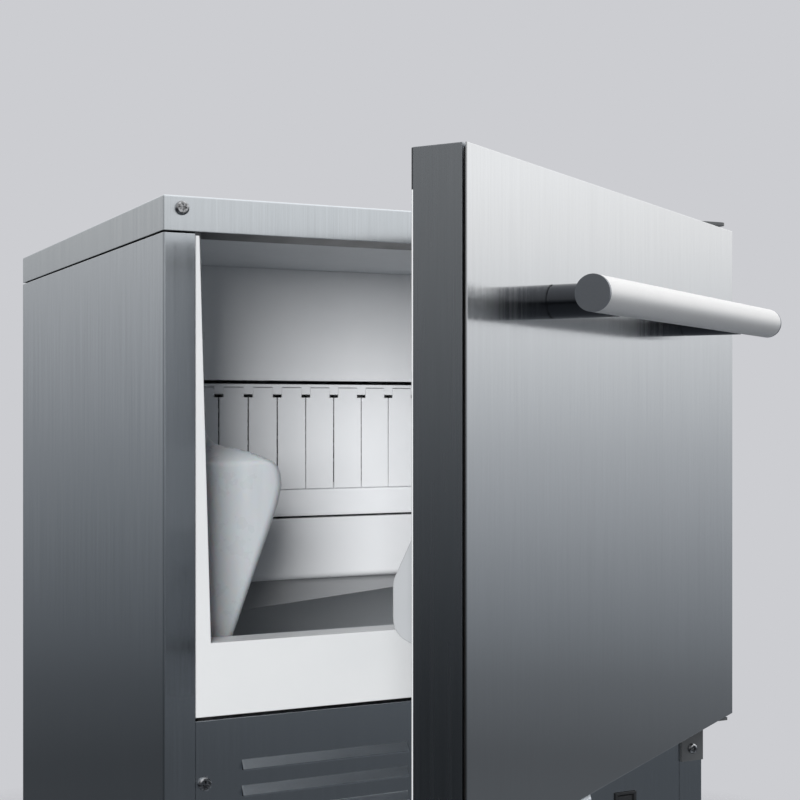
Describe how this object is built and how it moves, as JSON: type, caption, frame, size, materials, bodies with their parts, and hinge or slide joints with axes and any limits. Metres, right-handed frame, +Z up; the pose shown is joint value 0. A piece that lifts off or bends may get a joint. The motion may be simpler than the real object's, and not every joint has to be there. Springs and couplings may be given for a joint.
{
  "type": "ice maker",
  "caption": "Undercounter clear-ice maker: stainless cabinet with a side-hinged door ajar, bar handle, hinged curtain flaps over the ice outlet, storage bin and a hanging scoop.",
  "frame": {"origin": "on the floor at the centre of the four levelling feet, which is also the centre of the cabinet's footprint", "axes": "+Z up, +X to the right seen from the front, -Y out of the front towards the user, +Y towards the wall and the water inlet"},
  "size_m": [0.6094, 1.0233, 0.867],
  "materials": {
    "stainless": "satin",
    "stainless_dark": "satin",
    "galvanised": "satin",
    "screw_steel": "polished",
    "bar_steel": "satin",
    "cap_grey": "satin",
    "hinge_steel": "satin",
    "frame_white": "satin",
    "liner_grey": "satin",
    "curtain_white": "satin",
    "scoop_clear": "satin",
    "foam": "matte",
    "gasket": "matte",
    "bush_plastic": "satin",
    "black_plastic": "satin",
    "compressor_black": "satin",
    "tinned_copper": "satin",
    "copper": "satin",
    "fin_aluminium": "satin",
    "pipe_grey": "satin",
    "valve_white": "satin"
  },
  "bodies": {
    "cabinet": {"left_side_panel": "stainless", "right_side_panel": "stainless", "back_panel": "galvanised", "top_panel": "stainless", "panel_screws": "screw_steel", "base_pan": "galvanised", "front_frame": "frame_white", "bin_liner": "liner_grey", "foam_insulation": "foam", "evaporator_cover": "liner_grey", "curtain_frame": "curtain_white", "water_sump": "curtain_white", "ice_ramp": "pipe_grey", "spray_manifold": "pipe_grey", "evaporator": "tinned_copper", "evaporator_coil": "copper", "circulation_pump": "black_plastic", "bin_sensor": "copper", "lower_front_panel": "stainless", "compressor": "compressor_black", "condenser": "fin_aluminium", "fan_shroud": "galvanised", "fan_motor": "galvanised", "electrical_box": "black_plastic", "water_inlet_valve": "valve_white", "drain_fitting": "pipe_grey", "cord_gland": "black_plastic", "top_hinge_bracket": "hinge_steel", "bottom_hinge_bracket": "hinge_steel", "hinge_screws": "hinge_steel", "scoop_hook": "frame_white"},
    "door": {"door_skin": "stainless", "door_wrap": "stainless_dark", "door_foam": "foam", "door_liner": "frame_white", "door_gasket": "gasket", "handle_bar": "bar_steel", "handle_end_caps": "cap_grey", "handle_posts": "bar_steel", "hinge_bushes": "bush_plastic"},
    "fan": {"fan_blade": "black_plastic"},
    "switch_rocker": {"power_switch": "black_plastic"},
    "scoop": {"ice_scoop": "scoop_clear"},
    "flap_01": {"flap_01": "curtain_white"},
    "flap_02": {"flap_02": "curtain_white"},
    "flap_03": {"flap_03": "curtain_white"},
    "flap_04": {"flap_04": "curtain_white"},
    "flap_05": {"flap_05": "curtain_white"},
    "flap_06": {"flap_06": "curtain_white"},
    "flap_07": {"flap_07": "curtain_white"},
    "flap_08": {"flap_08": "curtain_white"},
    "flap_09": {"flap_09": "curtain_white"},
    "flap_10": {"flap_10": "curtain_white"},
    "flap_11": {"flap_11": "curtain_white"},
    "flap_12": {"flap_12": "curtain_white"},
    "flap_13": {"flap_13": "curtain_white"},
    "foot_front_left": {"foot_front_left": "black_plastic"},
    "foot_front_right": {"foot_front_right": "black_plastic"},
    "foot_rear_left": {"foot_rear_left": "black_plastic"},
    "foot_rear_right": {"foot_rear_right": "black_plastic"}
  },
  "joints": [
    {"name": "door_swing", "type": "hinge", "parent": "cabinet", "child": "door", "pos_m": [0.285, -0.334, 0.6235], "axis": [0, 0, 1], "range_deg": [-33.45, 76.55]},
    {"name": "flap_01_swing", "type": "hinge", "parent": "cabinet", "child": "flap_01", "pos_m": [-0.2082, -0.0365, 0.6885], "axis": [-1, 0, 0], "range_deg": [0, 75]},
    {"name": "flap_02_swing", "type": "hinge", "parent": "cabinet", "child": "flap_02", "pos_m": [-0.1735, -0.0365, 0.6885], "axis": [-1, 0, 0], "range_deg": [0, 75]},
    {"name": "flap_03_swing", "type": "hinge", "parent": "cabinet", "child": "flap_03", "pos_m": [-0.1388, -0.0365, 0.6885], "axis": [-1, 0, 0], "range_deg": [0, 75]},
    {"name": "flap_04_swing", "type": "hinge", "parent": "cabinet", "child": "flap_04", "pos_m": [-0.1041, -0.0365, 0.6885], "axis": [-1, 0, 0], "range_deg": [0, 75]},
    {"name": "flap_05_swing", "type": "hinge", "parent": "cabinet", "child": "flap_05", "pos_m": [-0.0694, -0.0365, 0.6885], "axis": [-1, 0, 0], "range_deg": [0, 75]},
    {"name": "flap_06_swing", "type": "hinge", "parent": "cabinet", "child": "flap_06", "pos_m": [-0.0347, -0.0365, 0.6885], "axis": [-1, 0, 0], "range_deg": [0, 75]},
    {"name": "flap_07_swing", "type": "hinge", "parent": "cabinet", "child": "flap_07", "pos_m": [0, -0.0365, 0.6885], "axis": [-1, 0, 0], "range_deg": [0, 75]},
    {"name": "flap_08_swing", "type": "hinge", "parent": "cabinet", "child": "flap_08", "pos_m": [0.0347, -0.0365, 0.6885], "axis": [-1, 0, 0], "range_deg": [0, 75]},
    {"name": "flap_09_swing", "type": "hinge", "parent": "cabinet", "child": "flap_09", "pos_m": [0.0694, -0.0365, 0.6885], "axis": [-1, 0, 0], "range_deg": [0, 75]},
    {"name": "flap_10_swing", "type": "hinge", "parent": "cabinet", "child": "flap_10", "pos_m": [0.1041, -0.0365, 0.6885], "axis": [-1, 0, 0], "range_deg": [0, 75]},
    {"name": "flap_11_swing", "type": "hinge", "parent": "cabinet", "child": "flap_11", "pos_m": [0.1388, -0.0365, 0.6885], "axis": [-1, 0, 0], "range_deg": [0, 75]},
    {"name": "flap_12_swing", "type": "hinge", "parent": "cabinet", "child": "flap_12", "pos_m": [0.1735, -0.0365, 0.6885], "axis": [-1, 0, 0], "range_deg": [0, 75]},
    {"name": "flap_13_swing", "type": "hinge", "parent": "cabinet", "child": "flap_13", "pos_m": [0.2082, -0.0365, 0.6885], "axis": [-1, 0, 0], "range_deg": [0, 75]},
    {"name": "fan_spin", "type": "hinge", "parent": "cabinet", "child": "fan", "pos_m": [-0.08, -0.222, 0.155], "axis": [0, 1, 0], "continuous": true},
    {"name": "switch_rock", "type": "hinge", "parent": "cabinet", "child": "switch_rocker", "pos_m": [0.2, -0.302, 0.25], "axis": [1, 0, 0], "range_deg": [0, 16]},
    {"name": "scoop_lift", "type": "slide", "parent": "cabinet", "child": "scoop", "axis": [0, 0, 1], "range_m": [0, 0.06]},
    {"name": "foot_front_left_screw", "type": "slide", "parent": "cabinet", "child": "foot_front_left", "axis": [0, 0, -1], "range_m": [0, 0.025]},
    {"name": "foot_front_right_screw", "type": "slide", "parent": "cabinet", "child": "foot_front_right", "axis": [0, 0, -1], "range_m": [0, 0.025]},
    {"name": "foot_rear_left_screw", "type": "slide", "parent": "cabinet", "child": "foot_rear_left", "axis": [0, 0, -1], "range_m": [0, 0.025]},
    {"name": "foot_rear_right_screw", "type": "slide", "parent": "cabinet", "child": "foot_rear_right", "axis": [0, 0, -1], "range_m": [0, 0.025]}
  ]
}
